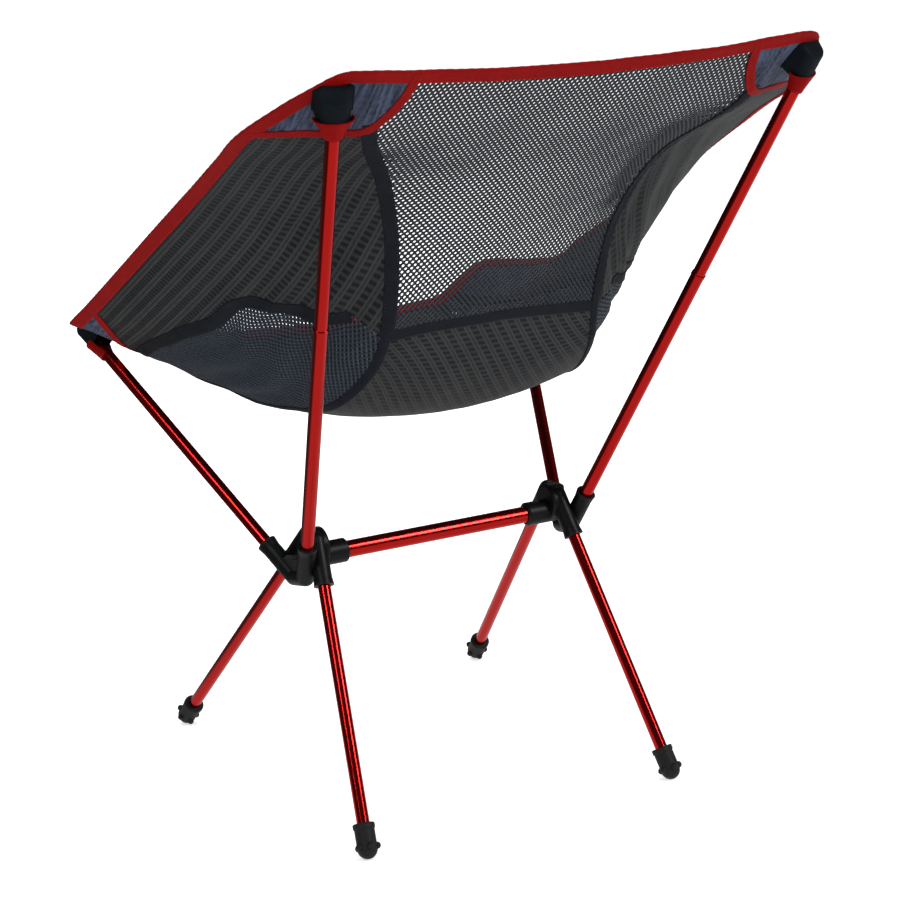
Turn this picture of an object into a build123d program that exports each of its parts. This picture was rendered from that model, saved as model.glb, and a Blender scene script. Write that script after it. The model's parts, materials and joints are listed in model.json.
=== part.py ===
from build123d import *
import math
import os

# Ultralight backpacking chair, in millimetres, +Z up. The chair faces -Y and the sitter's left is +X.
# Left-hand pieces are drawn at their place and the right-hand ones are mirrored in the YZ plane.

# ---- frame: where the pole axes run (left side, before the hub is set back) ----
hub_setback = -1.68
crossbar_height = 219.4
hub_centre = Vector(120.6, 0, crossbar_height)
leg_apex = Vector(118.4, 0, 246.6)
pole_apex = Vector(130.4, 0, 192.2)
front_foot_ground = Vector(160.0, -233.0, 0)
rear_foot_ground = Vector(151.0, 145.0, 0)
back_tip = Vector(206.0, 262.0, 635.2)
front_tip = Vector(222.5, -237.5, 387.0)

# ---- how far a cutting tool runs past the face it leaves ----
cut_margin = 5.0

# ---- tubes ----
pole_radius = 5.5
pole_bore = 4.65
lower_pole_radius = 5.85
ferrule_clearance = 0.05
ferrule_wall = 0.7
ferrule_hold = 45.0
ferrule_reach = 40.0
crossbar_radius = 7.5
crossbar_wall = 1.0
crossbar_grip = 20.0
back_joint_fraction = 0.587
joint_lip_length = 3.0
joint_lip_height = 0.35

# ---- hub ----
socket_clearance = 0.05
socket_radius = 8.0
socket_flare = 0.9
socket_flare_length = 7.0
socket_mouth = 54.0
socket_floor = 16.2
socket_start = 14.0
boss_radius = 10.6
boss_mouth = 31.0
boss_chamfer = 1.6
web_thickness = 7.0
web_reach = 38.0
shoulder_radius = 16.5
shoulder_thickness = 15.0
shoulder_drop = 19.0
shoulder_rounding = 2.5
cord_hole_radius = 1.8
knot_room_radius = 3.8
knot_distance = 11.5

# ---- shock cord ----
cord_radius = 1.3
knot_radius = 3.1
cord_end_margin = 16.0

# ---- feet ----
foot_radius = 8.6
foot_collar_radius = 9.4
foot_height = 21.0
foot_collar_height = 5.0
foot_collar_fillet = 1.2
foot_floor = 4.0
foot_lug_radius = 3.0
foot_lug_inset = 0.1
foot_lug_height = 1.5
foot_lug_count = 5
foot_centre_height = 8.3

# ---- pole tips and pockets ----
plug_stem = 12.0
plug_head = 7.0
plug_clearance = 1.0
hood_mouth = 15.0
hood_end = 12.0
hood_inner = 6.0
hood_outer = 9.2
tab_length = 15.0
tab_inner = 6.0
tab_outer = 7.6
fabric_gap = 0.35

# ---- sling: rows from the top edge down the back and along the seat to the front edge ----
# Each row gives the centre line (y, z), the seam (x, y, z), the edge (x, y, z)
# and how far up the side panel the mesh insert reaches, as a fraction of the row.
fabric_thickness = 1.6
binding_thickness = 3.0
tape_thickness = 0.8
tape_half_width = 5.0
tape_gap = 0.1
binding_width = 12.0
sling_rows = [
    ((275, 648), (178, 279, 656), (207, 272, 656), 0.33),
    ((238, 600), (162, 226, 600), (250, 200, 613), 0.33),
    ((200, 556), (125, 172, 560), (250, 150, 588), 0.30),
    ((160, 503), (103, 138, 505), (250, 100, 562), 0.25),
    ((119, 433), (99, 113, 428), (250, 45, 534), 0.17),
    ((90, 378), (106, 92, 392), (250, 0, 511), 0.53),
    ((45, 341), (119, 48, 360), (250, -50, 485), 0.58),
    ((-25, 333), (131, -20, 347), (250, -110, 454), 0.60),
    ((-120, 333), (141, -125, 346), (250, -165, 426), 0.53),
    ((-190, 343), (147, -200, 350), (250, -207, 405), 0.40),
    ((-238, 366), (150, -266, 370), (208, -276, 398), 0.20),
]
seat_seam_row = 4
centre_columns = 3
centre_sag_power = 2.2

# ---- corner patches: where their inner borders run ----
back_border_edge = Vector(250, 197, 611)
back_border_seam = Vector(171, 236, 609)
back_border_top = Vector(148, 281, 654)
back_patch_normal = Vector(0.315, 0.622, -0.717)
front_border_edge = Vector(250, -158, 430)
front_border_front = Vector(150, -266, 370)
front_patch_normal = Vector(0.559, -0.235, -0.795)
cutter_size = 500.0


# ---------------------------------------------------------------- helpers
def along(start, end, distance):
    """The point at a distance from start on the line to end."""
    return start + (end - start).normalized() * distance


def frame_at(origin, towards):
    """A plane at origin whose Z axis points towards the second point."""
    return Plane(origin=origin, z_dir=(towards - origin).normalized())


def rod(start, end, radius):
    """A round bar between two points."""
    length = (end - start).length
    bar = Cylinder(radius, length, align=(Align.CENTER, Align.CENTER, Align.MIN))
    return frame_at(start, end) * bar


def tube(start, end, outer, inner):
    """A round tube between two points."""
    margin = (end - start).normalized() * cut_margin
    return rod(start, end, outer) - rod(start - margin, end + margin, inner)


def ball(centre, radius):
    """A ball about a point."""
    return Pos(centre.X, centre.Y, centre.Z) * Sphere(radius)


def half_space(origin, direction):
    """A large block on the side of a plane that the direction points to."""
    block = Box(cutter_size, cutter_size, cutter_size, align=(Align.CENTER, Align.CENTER, Align.MIN))
    return Plane(origin=origin, z_dir=direction) * block


def mirrored(solid):
    """The right-hand twin of a left-hand piece."""
    return mirror(solid, about=Plane.YZ)


# ---------------------------------------------------------------- sling surface
def sling_line(row):
    """The named points of one row: centre, seam, insert line, middle, binding line, edge."""
    (centre_y, centre_z), seam, edge, insert_fraction = row
    centre = Vector(0, centre_y, centre_z)
    seam = Vector(*seam)
    edge = Vector(*edge)
    side = edge - seam
    points = []
    for index in range(centre_columns):
        fraction = index / centre_columns
        lift = fraction**centre_sag_power
        across = seam - centre
        points.append(centre + Vector(across.X * fraction, across.Y * lift, across.Z * lift))
    binding_fraction = 1 - binding_width / side.length
    middle_fraction = (insert_fraction + binding_fraction) / 2
    points.append(seam)
    for fraction in (insert_fraction, middle_fraction, binding_fraction, 1):
        points.append(seam + side * fraction)
    return points


def blended_row(row_a, row_b, fraction):
    """A row between two others."""
    line_a = sling_line(row_a)
    line_b = sling_line(row_b)
    return [a + (b - a) * fraction for a, b in zip(line_a, line_b)]


def sling_grid():
    """All rows of points, from the right edge to the left edge, with a binding row at each end."""
    lines = [sling_line(row) for row in sling_rows]
    top_step = binding_width / (lines[1][0] - lines[0][0]).length
    front_step = binding_width / (lines[-1][0] - lines[-2][0]).length
    lines.insert(1, blended_row(sling_rows[0], sling_rows[1], top_step))
    lines.insert(-1, blended_row(sling_rows[-1], sling_rows[-2], front_step))
    grid = []
    for line in lines:
        right = [Vector(-p.X, p.Y, p.Z) for p in reversed(line[1:])]
        grid.append(right + line)
    return grid


def grid_normals(grid):
    """The outward unit normal (towards the back and the ground) at each point of the grid."""
    rows = len(grid)
    columns = len(grid[0])
    normals = []
    for i in range(rows):
        line = []
        for j in range(columns):
            down = grid[min(i + 1, rows - 1)][j] - grid[max(i - 1, 0)][j]
            left = grid[i][min(j + 1, columns - 1)] - grid[i][max(j - 1, 0)]
            line.append(down.cross(left).normalized() * -1)
        normals.append(line)
    return normals


grid = sling_grid()
normals = grid_normals(grid)
row_count = len(grid)
column_count = len(grid[0])
centre_column = column_count // 2
seam_column = centre_column + centre_columns
insert_column = seam_column + 1
binding_column = seam_column + 3
seam_row = seat_seam_row + 1


def triangle(a, b, c):
    """A flat face through three points."""
    return Face(Wire.make_polygon([a, b, c], close=True))


def wall(a_low, b_low, a_high, b_high):
    """The two triangles that close a sheet along one of its sides."""
    return [triangle(a_low, b_low, b_high), triangle(a_low, b_high, a_high)]


def closed_sheet(cells, low, high):
    """A closed solid between a low and a high point at each corner of the cells."""
    faces = []
    sides = {}
    for i, j in cells:
        a, b, c, d = (i, j), (i + 1, j), (i + 1, j + 1), (i, j + 1)
        faces += [triangle(low[a], low[b], low[c]), triangle(low[a], low[c], low[d])]
        faces += [triangle(high[a], high[c], high[b]), triangle(high[a], high[d], high[c])]
        for side in ((a, b), (b, c), (c, d), (d, a)):
            key = tuple(sorted(side))
            sides[key] = sides.get(key, 0) + 1
    for (a, b), uses in sides.items():
        if uses == 1:
            faces += wall(low[a], low[b], high[a], high[b])
    return Solid(Shell(faces))


def sheet(cells, inner, outer):
    """A closed solid over some cells of the grid, between two offsets along the normals."""
    low = {}
    high = {}
    for i, j in cells:
        for key in ((i, j), (i + 1, j), (i + 1, j + 1), (i, j + 1)):
            low[key] = grid[key[0]][key[1]] + normals[key[0]][key[1]] * inner
            high[key] = grid[key[0]][key[1]] + normals[key[0]][key[1]] * outer
    return closed_sheet(cells, low, high)


def tape(keys, across_step):
    """A tape on the outer face of the cloth, along grid points, that follows the cloth on both sides."""
    inner = fabric_thickness / 2 + tape_gap
    low = {}
    high = {}
    for index, (i, j) in enumerate(keys):
        for side, sign in enumerate((-1, 0, 1)):
            ni, nj = i + across_step[0] * sign, j + across_step[1] * sign
            length = (grid[ni][nj] - grid[i][j]).length
            share = tape_half_width / length if sign else 0
            for points, offset in ((low, inner), (high, inner + tape_thickness)):
                here = grid[i][j] + normals[i][j] * offset
                there = grid[ni][nj] + normals[ni][nj] * offset
                points[(index, side)] = here + (there - here) * share
    cells = [(index, side) for index in range(len(keys) - 1) for side in (0, 1)]
    return closed_sheet(cells, low, high)


def largest(shape):
    """The largest solid of a shape, without the slivers that a cut leaves."""
    return max(shape.solids(), key=lambda piece: piece.volume)


def block(rows, columns):
    """The cells of a rectangle of the grid."""
    return [(i, j) for i in rows for j in columns]


def twin_column(column):
    """The column that mirrors another one."""
    return column_count - 1 - column


# ---------------------------------------------------------------- corner wedges
def back_wedge(gap):
    """The space that holds the back left corner patch, with a gap along its border."""
    first_side = (back_border_edge - back_border_seam).cross(back_patch_normal)
    second_side = (back_border_seam - back_border_top).cross(back_patch_normal)
    reach = back_tip - pole_apex
    first_side = (first_side * math.copysign(1, first_side.dot(reach))).normalized()
    second_side = (second_side * math.copysign(1, second_side.dot(reach))).normalized()
    first_space = half_space(back_border_seam + first_side * gap, first_side)
    return first_space & half_space(back_border_seam + second_side * gap, second_side)


def front_wedge(gap):
    """The space that holds the front left corner patch, with a gap along its border."""
    side = (front_border_edge - front_border_front).cross(front_patch_normal)
    side = (side * math.copysign(1, side.dot(front_tip - pole_apex))).normalized()
    return half_space(front_border_edge + side * gap, side)


# ---------------------------------------------------------------- hub and frame
def socket(apex, target):
    """One socket of the hub: a round tube with a rounded root and a flared mouth."""
    start = along(apex, target, socket_start)
    mouth = along(apex, target, socket_mouth)
    flare_start = along(apex, target, socket_mouth - socket_flare_length)
    flare = Cone(
        socket_radius,
        socket_radius + socket_flare,
        socket_flare_length,
        align=(Align.CENTER, Align.CENTER, Align.MIN),
    )
    tube = rod(start, mouth, socket_radius) + ball(start, socket_radius)
    return tube + frame_at(flare_start, mouth) * flare


def socket_hollow(apex, target, radius):
    """The bore of a socket, with the cord hole and the room for the cord's knot behind it."""
    knot = along(apex, target, knot_distance)
    floor = along(apex, target, socket_floor)
    outside = along(apex, target, socket_mouth + cut_margin)
    return rod(floor, outside, radius) + rod(knot, outside, cord_hole_radius) + ball(knot, knot_room_radius)


def web(apex, target_a, target_b):
    """The flat web between two sockets."""
    a = along(apex, target_a, web_reach)
    b = along(apex, target_b, web_reach)
    root = along(apex, (a + b) * 0.5, socket_start)
    normal = (a - root).cross(b - root).normalized()
    outline = Wire.make_polygon([root, a, b], close=True)
    return extrude(Face(outline), amount=web_thickness / 2, dir=normal, both=True)


def shoulder():
    """The round plate over the leg sockets' roots, with rounded edges."""
    plate = Cylinder(shoulder_radius, shoulder_thickness)
    plate = fillet(plate.edges().filter_by(GeomType.CIRCLE), shoulder_rounding)
    centre = leg_apex - Vector(0, 0, shoulder_drop)
    return Pos(centre.X, centre.Y, centre.Z) * Rot(0, 90, 0) * plate


def root_bridge(apex, target_a, target_b):
    """The rounded lump where two sockets grow together."""
    a = along(apex, target_a, socket_start)
    b = along(apex, target_b, socket_start)
    return rod(a, b, socket_radius)


def make_hub():
    """The left hub: crossbar boss, two leg sockets, two pole sockets, webs and bores."""
    body = socket(leg_apex, front_foot_ground) + socket(leg_apex, rear_foot_ground)
    body += socket(pole_apex, back_tip) + socket(pole_apex, front_tip)
    body += root_bridge(leg_apex, front_foot_ground, rear_foot_ground)
    body += root_bridge(pole_apex, back_tip, front_tip)
    body += shoulder()
    body += web(leg_apex, front_foot_ground, rear_foot_ground)
    body += web(pole_apex, back_tip, front_tip)
    boss_end = hub_centre - Vector(boss_mouth, 0, 0)
    boss = rod(boss_end, hub_centre, boss_radius)
    boss = chamfer(boss.edges().group_by(Axis.X)[0], boss_chamfer)
    body += boss
    bore = pole_radius + socket_clearance
    lower_bore = lower_pole_radius + socket_clearance
    body -= socket_hollow(leg_apex, front_foot_ground, bore)
    body -= socket_hollow(leg_apex, rear_foot_ground, bore)
    body -= socket_hollow(pole_apex, back_tip, lower_bore)
    body -= socket_hollow(pole_apex, front_tip, bore)
    bar_end = boss_end + Vector(crossbar_grip, 0, 0)
    body -= rod(boss_end - Vector(cut_margin, 0, 0), bar_end, crossbar_radius)
    return body


def make_crossbar():
    """The thick tube that joins the two hubs."""
    reach = hub_centre.X - boss_mouth + crossbar_grip
    left = Vector(reach, 0, crossbar_height)
    right = Vector(-reach, 0, crossbar_height)
    return tube(right, left, crossbar_radius, crossbar_radius - crossbar_wall)


def foot_centre(apex, ground):
    """The centre of a foot's round end, on the leg's axis."""
    rise = (foot_centre_height - ground.Z) / (apex.Z - ground.Z)
    return ground + (apex - ground) * rise


def make_foot(apex, ground):
    """A rubber foot cup: round end with lugs, straight body, thick collar, bore for the leg."""
    centre = foot_centre(apex, ground)
    place = frame_at(centre, apex)
    bottom = (Align.CENTER, Align.CENTER, Align.MIN)
    body = Sphere(foot_radius) + Cylinder(foot_radius, foot_height, align=bottom)
    collar = Pos(0, 0, foot_height - foot_collar_height) * Cylinder(
        foot_collar_radius, foot_collar_height, align=bottom
    )
    body += fillet(collar.edges().filter_by(GeomType.CIRCLE), foot_collar_fillet)
    for index in range(foot_lug_count):
        turn = 360 / foot_lug_count * index
        lug = Pos(foot_radius - foot_lug_inset, 0, foot_lug_height) * Sphere(foot_lug_radius)
        body += Rot(0, 0, turn) * lug
    body -= Pos(0, 0, foot_floor) * Cylinder(pole_radius, foot_height, align=bottom)
    placed = place * body
    return placed & half_space(Vector(centre.X, centre.Y, 0), Vector(0, 0, 1))


def make_leg(apex, ground):
    """A leg tube from the floor of its socket to the floor of its foot cup."""
    start = along(apex, ground, socket_floor)
    centre = foot_centre(apex, ground)
    end = along(centre, apex, foot_floor)
    return tube(start, end, pole_radius, pole_bore)


def back_joint():
    """The place on a back pole where its two sections meet."""
    return along(pole_apex, back_tip, (back_tip - pole_apex).length * back_joint_fraction)


def make_back_lower():
    """The lower, thicker section of a back pole, with a rolled lip at its upper end."""
    start = along(pole_apex, back_tip, socket_floor)
    joint = back_joint()
    section = rod(start, joint, lower_pole_radius)
    section += rod(along(joint, start, joint_lip_length), joint, lower_pole_radius + joint_lip_height)
    margin = (joint - start).normalized() * cut_margin
    return section - rod(start - margin, joint + margin, pole_bore)


def make_ferrule():
    """The inner tube fixed in the lower section that the upper section slides over."""
    joint = back_joint()
    bottom = along(joint, pole_apex, ferrule_hold)
    top = along(joint, back_tip, ferrule_reach)
    outer = pole_bore - ferrule_clearance
    held = rod(bottom, joint, pole_bore) + rod(joint, top, outer)
    margin = (top - bottom).normalized() * cut_margin
    return held - rod(bottom - margin, top + margin, outer - ferrule_wall)


def make_plug(apex, tip):
    """The plastic plug in the end of a seat pole, with a round head."""
    stem_start = along(tip, apex, plug_stem)
    head_centre = tip + (tip - apex).normalized() * (plug_head - pole_radius)
    dome = ball(head_centre, pole_radius) & half_space(head_centre, tip - apex)
    return rod(stem_start, tip, pole_bore) + rod(tip, head_centre, pole_radius) + dome


def make_cord(apex, target, length):
    """The shock cord of one pole, with a knot in the hub and a knot near the pole's far end."""
    hub_knot = along(apex, target, knot_distance)
    far_knot = along(apex, target, length - cord_end_margin)
    return rod(hub_knot, far_knot, cord_radius) + ball(hub_knot, knot_radius) + ball(far_knot, knot_radius)


def make_hood(apex, tip, patch):
    """The webbing cup sewn over a pole tip, trimmed where it meets the corner patch."""
    end = tip + (tip - apex).normalized() * hood_end
    mouth = along(tip, apex, hood_mouth)
    hollow_end = tip + (tip - apex).normalized() * (plug_head + plug_clearance)
    cup = rod(mouth, end, hood_outer)
    cup -= rod(along(mouth, apex, cut_margin), hollow_end, hood_inner)
    cup -= patch
    return largest(cup)


def make_tab(apex, tip, outward):
    """The coloured tab that wraps the outer half of the pole below the hood."""
    start = along(tip, apex, hood_mouth + fabric_gap)
    end = along(start, apex, tab_length)
    return tube(end, start, tab_outer, tab_inner) & half_space(start, outward)


# ---------------------------------------------------------------- sling pieces
def make_sling():
    """The panels, tapes, bindings and corner patches of the sling, by node name."""
    half = fabric_thickness / 2
    thick = binding_thickness / 2
    last_row = row_count - 2
    last_column = column_count - 2
    back_rows = range(1, seam_row)
    seat_rows = range(seam_row, last_row)
    cloth_rows = range(1, last_row)
    all_columns = range(last_column + 1)
    cloth_columns = range(twin_column(binding_column), binding_column)
    middle_columns = range(twin_column(seam_column), seam_column)
    left_edge = range(binding_column, last_column + 1)
    corners = back_wedge(0) + front_wedge(0)
    all_corners = corners + mirrored(corners)
    cloth = sheet(block(cloth_rows, cloth_columns), -half, half)
    cloth += mirrored(cloth)
    whole = sheet(block(range(last_row + 1), all_columns), -half, half)
    side_cells = block(back_rows, range(seam_column, binding_column))
    side_cells += block(seat_rows, range(insert_column, binding_column))
    insert_cells = block(seat_rows, range(seam_column, insert_column))
    seat_seam = [(seam_row, j) for j in range(twin_column(seam_column) + 1, seam_column)]
    rear_seam = [(i, seam_column) for i in range(1, seam_row)]
    insert_arc = [(i, insert_column) for i in range(seam_row + 1, last_row)]

    nodes = {
        "back_mesh_panel": sheet(block(back_rows, middle_columns), -half, half) - all_corners,
        "seat_panel": sheet(block(seat_rows, middle_columns), -half, half) - all_corners,
        "top_binding": sheet(block([0], all_columns), -thick, thick) - cloth - all_corners,
        "front_binding": sheet(block([last_row], all_columns), -thick, thick) - cloth - all_corners,
        "seat_seam_tape": largest(tape(seat_seam, (1, 0)) - cloth),
    }
    pairs = {
        "side_panel": sheet(side_cells, -half, half) - corners,
        "side_mesh": sheet(insert_cells, -half, half) - corners,
        "side_binding": sheet(block(cloth_rows, left_edge), -thick, thick) - cloth - corners,
        "rear_seam_tape": largest(tape(rear_seam, (0, 1)) - corners - cloth),
        "side_mesh_tape": largest(tape(insert_arc, (0, 1)) - corners - cloth),
        "corner_patch_back": whole & back_wedge(fabric_gap),
        "corner_patch_front": whole & front_wedge(fabric_gap),
    }
    for name, solid in pairs.items():
        nodes[name + "_left"] = solid
        nodes[name + "_right"] = mirrored(solid)
    return nodes


# ---------------------------------------------------------------- assembly
def make_nodes():
    """Every node of the chair by name, with the hub at its place over the ground."""
    nodes = {"crossbar": make_crossbar()}
    nodes.update(make_sling())
    back_patch = nodes["corner_patch_back_left"]
    front_patch = nodes["corner_patch_front_left"]
    back_length = (back_tip - pole_apex).length
    front_length = (front_tip - pole_apex).length
    rear_leg_length = (rear_foot_ground - leg_apex).length
    front_leg_length = (front_foot_ground - leg_apex).length
    joint = back_joint()
    pairs = {
        "hub": make_hub(),
        "leg_tube_front": make_leg(leg_apex, front_foot_ground),
        "leg_tube_rear": make_leg(leg_apex, rear_foot_ground),
        "foot_cup_front": make_foot(leg_apex, front_foot_ground),
        "foot_cup_rear": make_foot(leg_apex, rear_foot_ground),
        "front_pole": tube(along(pole_apex, front_tip, socket_floor), front_tip, pole_radius, pole_bore),
        "back_pole_lower": make_back_lower(),
        "back_pole_upper": tube(joint, back_tip, pole_radius, pole_bore),
        "back_pole_ferrule": make_ferrule(),
        "tip_plug_front": make_plug(pole_apex, front_tip),
        "tip_plug_back": make_plug(pole_apex, back_tip),
        "shock_cord_leg_front": make_cord(leg_apex, front_foot_ground, front_leg_length - foot_height),
        "shock_cord_leg_rear": make_cord(leg_apex, rear_foot_ground, rear_leg_length - foot_height),
        "shock_cord_pole_front": make_cord(pole_apex, front_tip, front_length - plug_stem),
        "shock_cord_pole_back": make_cord(pole_apex, back_tip, back_length - plug_stem),
        "tip_pocket_front": make_hood(pole_apex, front_tip, front_patch),
        "tip_pocket_back": make_hood(pole_apex, back_tip, back_patch),
        "pocket_tab_front": make_tab(pole_apex, front_tip, front_patch_normal),
        "pocket_tab_back": make_tab(pole_apex, back_tip, back_patch_normal),
    }
    for name, solid in pairs.items():
        nodes[name + "_left"] = solid
        nodes[name + "_right"] = mirrored(solid)
    return {name: Pos(0, hub_setback, 0) * solid for name, solid in nodes.items()}


os.makedirs("parts", exist_ok=True)
for node_name, node_solid in make_nodes().items():
    export_step(node_solid, f"parts/{node_name}.step")
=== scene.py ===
import json
import math

import bpy
import numpy as np
from mathutils import Matrix, Vector, noise
from mathutils.bvhtree import BVHTree


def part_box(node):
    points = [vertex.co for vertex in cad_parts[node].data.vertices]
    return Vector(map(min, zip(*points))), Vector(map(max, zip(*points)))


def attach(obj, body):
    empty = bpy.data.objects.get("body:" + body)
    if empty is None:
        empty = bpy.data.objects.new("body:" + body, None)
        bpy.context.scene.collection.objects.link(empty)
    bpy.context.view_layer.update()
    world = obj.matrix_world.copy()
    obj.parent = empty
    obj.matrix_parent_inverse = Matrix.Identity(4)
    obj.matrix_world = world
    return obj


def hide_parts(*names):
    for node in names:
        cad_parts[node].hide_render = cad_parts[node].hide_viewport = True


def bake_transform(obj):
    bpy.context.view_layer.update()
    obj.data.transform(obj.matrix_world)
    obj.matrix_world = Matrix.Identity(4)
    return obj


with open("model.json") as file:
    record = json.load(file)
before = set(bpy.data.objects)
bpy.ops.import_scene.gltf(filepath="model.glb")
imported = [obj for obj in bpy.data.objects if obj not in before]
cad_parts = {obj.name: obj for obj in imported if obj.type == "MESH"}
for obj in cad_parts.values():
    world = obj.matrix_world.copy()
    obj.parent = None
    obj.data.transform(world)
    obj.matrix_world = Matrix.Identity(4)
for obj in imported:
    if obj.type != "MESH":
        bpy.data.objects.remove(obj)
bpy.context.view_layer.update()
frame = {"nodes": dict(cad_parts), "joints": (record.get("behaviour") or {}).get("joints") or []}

# Looks of an ultralight backpacking chair: a sling of mesh and ripstop on red anodised poles with black
# moulded hubs. Everything is in metres. The chair faces -Y and the sitter's left is +X.

SIDES = {"left": 1, "right": -1}
MM = 0.001
TURN = 2 * math.pi

# ---------------------------------------------------------------- the sling's shape, as the CAD has it
bar_low, bar_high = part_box("crossbar")
SETBACK = (bar_low.y + bar_high.y) / 2

# Rows from the top edge to the front edge, in millimetres before the setback:
# centre line (y, z), seam (x, y, z), edge (x, y, z), share of the side that the mesh insert takes.
ROWS = [
    ((275, 648), (178, 279, 656), (207, 272, 656), 0.33),
    ((238, 600), (162, 226, 600), (250, 200, 613), 0.33),
    ((200, 556), (125, 172, 560), (250, 150, 588), 0.30),
    ((160, 503), (103, 138, 505), (250, 100, 562), 0.25),
    ((119, 433), (99, 113, 428), (250, 45, 534), 0.17),
    ((90, 378), (106, 92, 392), (250, 0, 511), 0.53),
    ((45, 341), (119, 48, 360), (250, -50, 485), 0.58),
    ((-25, 333), (131, -20, 347), (250, -110, 454), 0.60),
    ((-120, 333), (141, -125, 346), (250, -165, 426), 0.53),
    ((-190, 343), (147, -200, 350), (250, -207, 405), 0.40),
    ((-238, 366), (150, -266, 370), (208, -276, 398), 0.20),
]
SEAT_SEAM = 4
CENTRE_SAG_POWER = 2.2
CORNER_RADIUS = 0.010

# The inner borders of the corner patches, on the left side, in millimetres before the setback.
BACK_BORDER = [(250, 197, 611), (212, 218, 608), (171, 236, 609), (153, 258, 628), (146, 281, 654)]
FRONT_BORDER = [(250, -155, 432), (200, -196, 394), (150, -250, 362)]

# ---------------------------------------------------------------- cloth sizes
CLOTH = 0.0007
PATCH_CLOTH = 0.0012
NET = 0.0008
TAPE = 0.0007
BINDING_WIDTH = 0.011
BORDER_WIDTH = 0.008
CELL = 0.004
PATH_STEP = 0.0028
BORDER_STEP = 0.003


def point(x, y, z):
    """A point given in millimetres before the setback, in metres."""
    return np.array([x * MM, y * MM + SETBACK, z * MM])


def unit(v):
    """Vectors with length one, along the last axis."""
    return v / np.maximum(np.linalg.norm(v, axis=-1, keepdims=True), 1e-12)


def mirror(p, side):
    """Points of the left side, moved to the side with that sign."""
    return np.asarray(p) * np.array([side, 1, 1])


# ---------------------------------------------------------------- splines
def curve_at(values, knots, t):
    """Values at t on the smooth curve through the rows, with uneven knots."""
    values = np.asarray(values, float)
    steps = np.diff(knots)[:, None]
    slopes = np.diff(values, axis=0) / steps
    middle = (slopes[:-1] * steps[1:] + slopes[1:] * steps[:-1]) / (steps[:-1] + steps[1:])
    tangents = np.vstack([slopes[:1], middle, slopes[-1:]])
    i = np.clip(np.searchsorted(knots, t, side="right") - 1, 0, len(knots) - 2)
    h = (knots[i + 1] - knots[i])[:, None]
    s = ((t - knots[i])[:, None]) / h
    return (
        (2 * s**3 - 3 * s**2 + 1) * values[i]
        + (s**3 - 2 * s**2 + s) * h * tangents[i]
        + (3 * s**2 - 2 * s**3) * values[i + 1]
        + (s**3 - s**2) * h * tangents[i + 1]
    )


def distances(path):
    """How far along a path each of its points is."""
    return np.concatenate([[0], np.cumsum(np.linalg.norm(np.diff(path, axis=0), axis=1))])


def read_at(wanted, lengths, values):
    """Points or directions at wanted distances, between those known at the lengths."""
    return np.column_stack([np.interp(wanted, lengths, values[:, k]) for k in range(3)])


def resampled(path, step):
    """A path again, with points an even distance of about one step apart."""
    path = np.asarray(path, float)
    lengths = distances(path)
    count = max(2, int(round(lengths[-1] / step)) + 1)
    return read_at(np.linspace(0, lengths[-1], count), lengths, path)


def smooth_path(points, step):
    """Points an even distance apart on a smooth curve through a few given points."""
    knots = distances(points)
    return resampled(curve_at(points, knots, np.linspace(0, knots[-1], 200)), step)


# ---------------------------------------------------------------- the fine surface of the sling
CENTRE = np.array([point(0, *row[0]) for row in ROWS])
SEAM = np.array([point(*row[1]) for row in ROWS])
EDGE = np.array([point(*row[2]) for row in ROWS])
INSERT = np.array([[row[3]] for row in ROWS])
LINES = (CENTRE, SEAM, EDGE)
ROW_STEPS = np.mean([np.linalg.norm(np.diff(line, axis=0), axis=1) for line in LINES], axis=0)
KNOTS = np.concatenate([[0], np.cumsum(ROW_STEPS)])
SLING_LENGTH = KNOTS[-1]
SEAT_SEAM_AT = KNOTS[SEAT_SEAM]

BACK_ROWS = int(round(SEAT_SEAM_AT / CELL))
SEAT_ROWS = int(round((SLING_LENGTH - SEAT_SEAM_AT) / CELL))
LAST_ROW = BACK_ROWS + SEAT_ROWS
CENTRE_CELLS = 34
INSERT_CELLS = 18
PANEL_CELLS = 30
SEAM_COLUMN = CENTRE_CELLS
INSERT_COLUMN = CENTRE_CELLS + INSERT_CELLS
EDGE_COLUMN = INSERT_COLUMN + PANEL_CELLS

# The relief of the cloth: heights, lengths and places of its folds, slack, puckers, sag and belly. Slack has
# a height, a size and a seed for each of its two noises. Places across are counted as in sling_points.
WANDER_SIZE = 0.11
FOLD_HEIGHT = 0.0026
FOLD_PITCH = 0.034
FOLD_WANDER = 0.9
FOLDS_FROM_EDGE = 0.030
FOLDS_FADE = 0.10
FOLDS_MIDDLE = 0.19
FOLDS_SPREAD = 0.26
SLACK = ((0.0012, 0.05, 1), (0.0005, 0.02, 4))
SLACK_AT_EDGE = 0.25
TAUT_EDGE = 0.02
PUCKER_HEIGHT = 0.0011
PUCKER_PITCH = 0.0085
PUCKER_PATCHES = 0.03
PUCKER_REACH = 0.10
PUCKERS_PAST_SEAM = 0.05
SAG_HEIGHT = 0.0025
SAG_SIZE = 0.09
SAG_ENDS = 0.75
TAUT_TOP = 0.05
BELLY_HEIGHT = 0.008
BELLY_ACROSS = 1.15
BELLY_WIDTH = 0.30
BELLY_FROM_FRONT = 0.030
BELLY_LENGTH = 0.026


def rounded_corner(a, b, radius):
    """Distances from two edges that meet at a corner, changed so that the corner becomes round."""
    x = np.clip(1 - a / radius, 0, 1)
    y = np.clip(1 - b / radius, 0, 1)
    return radius * (1 - x * np.sqrt(1 - y * y / 2)), radius * (1 - y * np.sqrt(1 - x * x / 2))


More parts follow.
